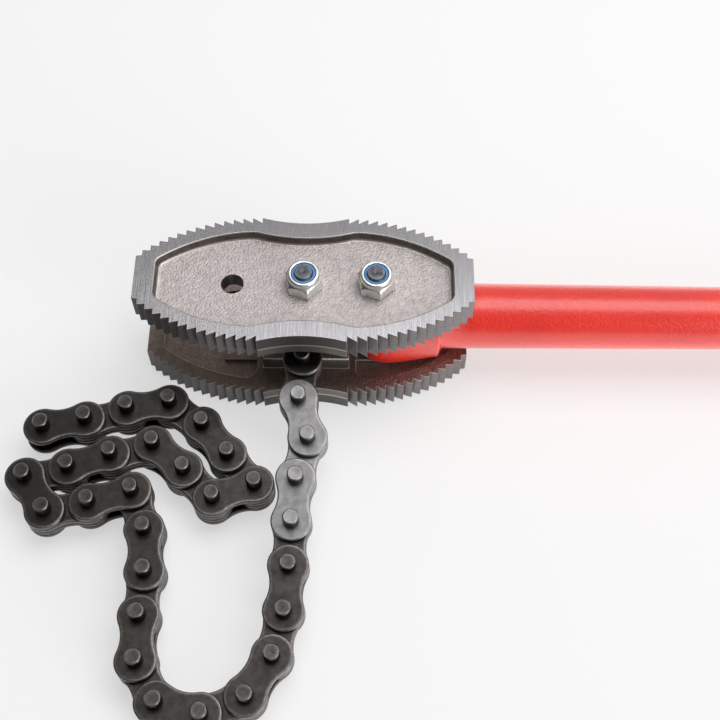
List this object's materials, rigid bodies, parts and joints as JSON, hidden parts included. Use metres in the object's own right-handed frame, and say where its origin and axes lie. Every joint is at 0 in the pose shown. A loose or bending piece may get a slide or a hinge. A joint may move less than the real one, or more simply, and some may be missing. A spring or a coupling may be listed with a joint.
{
  "type": "chain pipe wrench",
  "caption": "Chain pipe wrench: toothed double jaws bolted over a long red bar handle, with a leaf chain on the jaw bolt that wraps a pipe and hooks between the jaws.",
  "frame": {"origin": "axis of the spare bolt hole, midway between the two jaws", "axes": "+X along the handle towards its free end, +Z along the bolts from bolt heads to nuts"},
  "size_m": [1.1703, 0.2765, 0.0827],
  "materials": {
    "jaw_steel": "ground rim, blasted recess",
    "red_paint": "glossy powder coat",
    "bolt_steel": "black oxide",
    "zinc": "zinc plated",
    "nylon": "matt nylon",
    "chain_bright": "satin steel",
    "chain_steel": "oiled dark steel"
  },
  "bodies": {
    "head": {"lower_jaw": "jaw_steel", "upper_jaw": "jaw_steel", "handle": "red_paint", "chain_bolt": "bolt_steel", "handle_bolt": "bolt_steel", "chain_nut": "zinc", "handle_nut": "zinc", "chain_nut_ring": "nylon", "handle_nut_ring": "nylon", "distance_sleeve": "bolt_steel"},
    "anchor_link": {"anchor_link": "chain_steel"},
    "inner_link_01": {"inner_link_01": "chain_steel"},
    "outer_link_02": {"outer_link_02": "chain_bright"},
    "inner_link_03": {"inner_link_03": "chain_bright"},
    "outer_link_04": {"outer_link_04": "chain_bright"},
    "inner_link_05": {"inner_link_05": "chain_steel"},
    "outer_link_06": {"outer_link_06": "chain_steel"},
    "inner_link_07": {"inner_link_07": "chain_steel"},
    "outer_link_08": {"outer_link_08": "chain_steel"},
    "inner_link_09": {"inner_link_09": "chain_steel"},
    "outer_link_10": {"outer_link_10": "chain_steel"},
    "inner_link_11": {"inner_link_11": "chain_steel"},
    "outer_link_12": {"outer_link_12": "chain_steel"},
    "inner_link_13": {"inner_link_13": "chain_steel"},
    "outer_link_14": {"outer_link_14": "chain_steel"},
    "inner_link_15": {"inner_link_15": "chain_steel"},
    "outer_link_16": {"outer_link_16": "chain_steel"},
    "inner_link_17": {"inner_link_17": "chain_steel"},
    "outer_link_18": {"outer_link_18": "chain_steel"},
    "inner_link_19": {"inner_link_19": "chain_steel"},
    "outer_link_20": {"outer_link_20": "chain_steel"},
    "inner_link_21": {"inner_link_21": "chain_steel"},
    "outer_link_22": {"outer_link_22": "chain_steel"},
    "inner_link_23": {"inner_link_23": "chain_steel"},
    "outer_link_24": {"outer_link_24": "chain_steel"},
    "inner_link_25": {"inner_link_25": "chain_steel"},
    "outer_link_26": {"outer_link_26": "chain_steel"},
    "inner_link_27": {"inner_link_27": "chain_steel"},
    "outer_link_28": {"outer_link_28": "chain_steel"},
    "inner_link_29": {"inner_link_29": "chain_steel"},
    "outer_link_30": {"outer_link_30": "chain_steel"}
  },
  "joints": [
    {"name": "anchor_swing", "type": "hinge", "parent": "head", "child": "anchor_link", "pos_m": [0.04, 0, 0], "axis": [0, 0, 1], "range_deg": [-8, 16]},
    {"name": "pin_01_turn", "type": "hinge", "parent": "anchor_link", "child": "inner_link_01", "pos_m": [0.03895, -0.02979, -0.0034], "axis": [0, -0.1135, 0.9935], "range_deg": [0, 14]},
    {"name": "pin_02_turn", "type": "hinge", "parent": "inner_link_01", "child": "outer_link_02", "pos_m": [0.03728, -0.05357, -0.00612], "axis": [0, -0.1135, 0.9935], "range_deg": [0, 14]},
    {"name": "pin_03_turn", "type": "hinge", "parent": "outer_link_02", "child": "inner_link_03", "pos_m": [0.04308, -0.07671, -0.00877], "axis": [0, -0.1135, 0.9935], "range_deg": [0, 14]},
    {"name": "pin_04_turn", "type": "hinge", "parent": "inner_link_03", "child": "outer_link_04", "pos_m": [0.03728, -0.09985, -0.01141], "axis": [0, -0.1135, 0.9935], "range_deg": [0, 14]},
    {"name": "pin_05_turn", "type": "hinge", "parent": "outer_link_04", "child": "inner_link_05", "pos_m": [0.0356, -0.12363, -0.01413], "axis": [0, -0.1135, 0.9935], "range_deg": [0, 14]},
    {"name": "pin_06_turn", "type": "hinge", "parent": "inner_link_05", "child": "outer_link_06", "pos_m": [0.03477, -0.14746, -0.01685], "axis": [0, -0.1135, 0.9935], "range_deg": [0, 14]},
    {"name": "pin_07_turn", "type": "hinge", "parent": "outer_link_06", "child": "inner_link_07", "pos_m": [0.03309, -0.17125, -0.01957], "axis": [0, -0.1135, 0.9935], "range_deg": [0, 14]},
    {"name": "pin_08_turn", "type": "hinge", "parent": "inner_link_07", "child": "outer_link_08", "pos_m": [0.0281, -0.19464, -0.02157], "axis": [0, -0.0568, 0.9984], "range_deg": [0, 14]},
    {"name": "pin_09_turn", "type": "hinge", "parent": "outer_link_08", "child": "inner_link_09", "pos_m": [0.01538, -0.21496, -0.02272], "axis": [0, -0.0568, 0.9984], "range_deg": [0, 14]},
    {"name": "pin_10_turn", "type": "hinge", "parent": "inner_link_09", "child": "outer_link_10", "pos_m": [-0.00654, -0.22472, -0.023], "axis": [0, 0, 1], "range_deg": [0, 14]},
    {"name": "pin_11_turn", "type": "hinge", "parent": "outer_link_10", "child": "inner_link_11", "pos_m": [-0.02983, -0.21891, -0.023], "axis": [0, 0, 1], "range_deg": [0, 14]},
    {"name": "pin_12_turn", "type": "hinge", "parent": "inner_link_11", "child": "outer_link_12", "pos_m": [-0.04183, -0.19813, -0.023], "axis": [0, 0, 1], "range_deg": [0, 14]},
    {"name": "pin_13_turn", "type": "hinge", "parent": "outer_link_12", "child": "inner_link_13", "pos_m": [-0.04266, -0.17414, -0.023], "axis": [0, 0, 1], "range_deg": [0, 14]},
    {"name": "pin_14_turn", "type": "hinge", "parent": "inner_link_13", "child": "outer_link_14", "pos_m": [-0.04183, -0.15016, -0.023], "axis": [0, 0, 1], "range_deg": [0, 14]},
    {"name": "pin_15_turn", "type": "hinge", "parent": "outer_link_14", "child": "inner_link_15", "pos_m": [-0.04434, -0.12629, -0.023], "axis": [0, 0, 1], "range_deg": [0, 14]},
    {"name": "pin_16_turn", "type": "hinge", "parent": "inner_link_15", "child": "outer_link_16", "pos_m": [-0.05333, -0.10404, -0.023], "axis": [0, 0, 1], "range_deg": [-20, 24]},
    {"name": "pin_17_turn", "type": "hinge", "parent": "outer_link_16", "child": "inner_link_17", "pos_m": [-0.07628, -0.11105, -0.023], "axis": [0, 0, 1], "range_deg": [0, 28]},
    {"name": "pin_18_turn", "type": "hinge", "parent": "inner_link_17", "child": "outer_link_18", "pos_m": [-0.09975, -0.11604, -0.023], "axis": [0, 0, 1], "range_deg": [0, 16]},
    {"name": "pin_19_turn", "type": "hinge", "parent": "outer_link_18", "child": "inner_link_19", "pos_m": [-0.11317, -0.09615, -0.023], "axis": [0, 0, 1], "range_deg": [0, 8]},
    {"name": "pin_20_turn", "type": "hinge", "parent": "inner_link_19", "child": "outer_link_20", "pos_m": [-0.08989, -0.09034, -0.023], "axis": [0, 0, 1], "range_deg": [0, 12]},
    {"name": "pin_21_turn", "type": "hinge", "parent": "outer_link_20", "child": "inner_link_21", "pos_m": [-0.06733, -0.08213, -0.023], "axis": [0, 0, 1], "range_deg": [0, 6]},
    {"name": "pin_22_turn", "type": "hinge", "parent": "inner_link_21", "child": "outer_link_22", "pos_m": [-0.04426, -0.07552, -0.023], "axis": [0, 0, -1], "range_deg": [0, 14]},
    {"name": "pin_23_turn", "type": "hinge", "parent": "outer_link_22", "child": "inner_link_23", "pos_m": [-0.02588, -0.09094, -0.023], "axis": [0, 0, -1], "range_deg": [0, 24]},
    {"name": "pin_24_turn", "type": "hinge", "parent": "inner_link_23", "child": "outer_link_24", "pos_m": [-0.00861, -0.10762, -0.023], "axis": [0, 0, -1], "range_deg": [0, 3]},
    {"name": "pin_25_turn", "type": "hinge", "parent": "outer_link_24", "child": "inner_link_25", "pos_m": [0.01394, -0.09941, -0.023], "axis": [0, 0, -1], "range_deg": [0, 5]},
    {"name": "pin_26_turn", "type": "hinge", "parent": "inner_link_25", "child": "outer_link_26", "pos_m": [-0.00212, -0.08157, -0.023], "axis": [0, 0, -1], "range_deg": [0, 8]},
    {"name": "pin_27_turn", "type": "hinge", "parent": "outer_link_26", "child": "inner_link_27", "pos_m": [-0.01755, -0.06319, -0.023], "axis": [0, 0, -1], "range_deg": [0, 18]},
    {"name": "pin_28_turn", "type": "hinge", "parent": "inner_link_27", "child": "outer_link_28", "pos_m": [-0.03721, -0.04942, -0.023], "axis": [0, 0, -1], "range_deg": [0, 45]},
    {"name": "pin_29_turn", "type": "hinge", "parent": "outer_link_28", "child": "inner_link_29", "pos_m": [-0.06084, -0.05359, -0.023], "axis": [0, 0, -1], "range_deg": [0, 45]},
    {"name": "pin_30_turn", "type": "hinge", "parent": "inner_link_29", "child": "outer_link_30", "pos_m": [-0.08379, -0.06061, -0.023], "axis": [0, 0, -1], "range_deg": [-8, 45]}
  ]
}
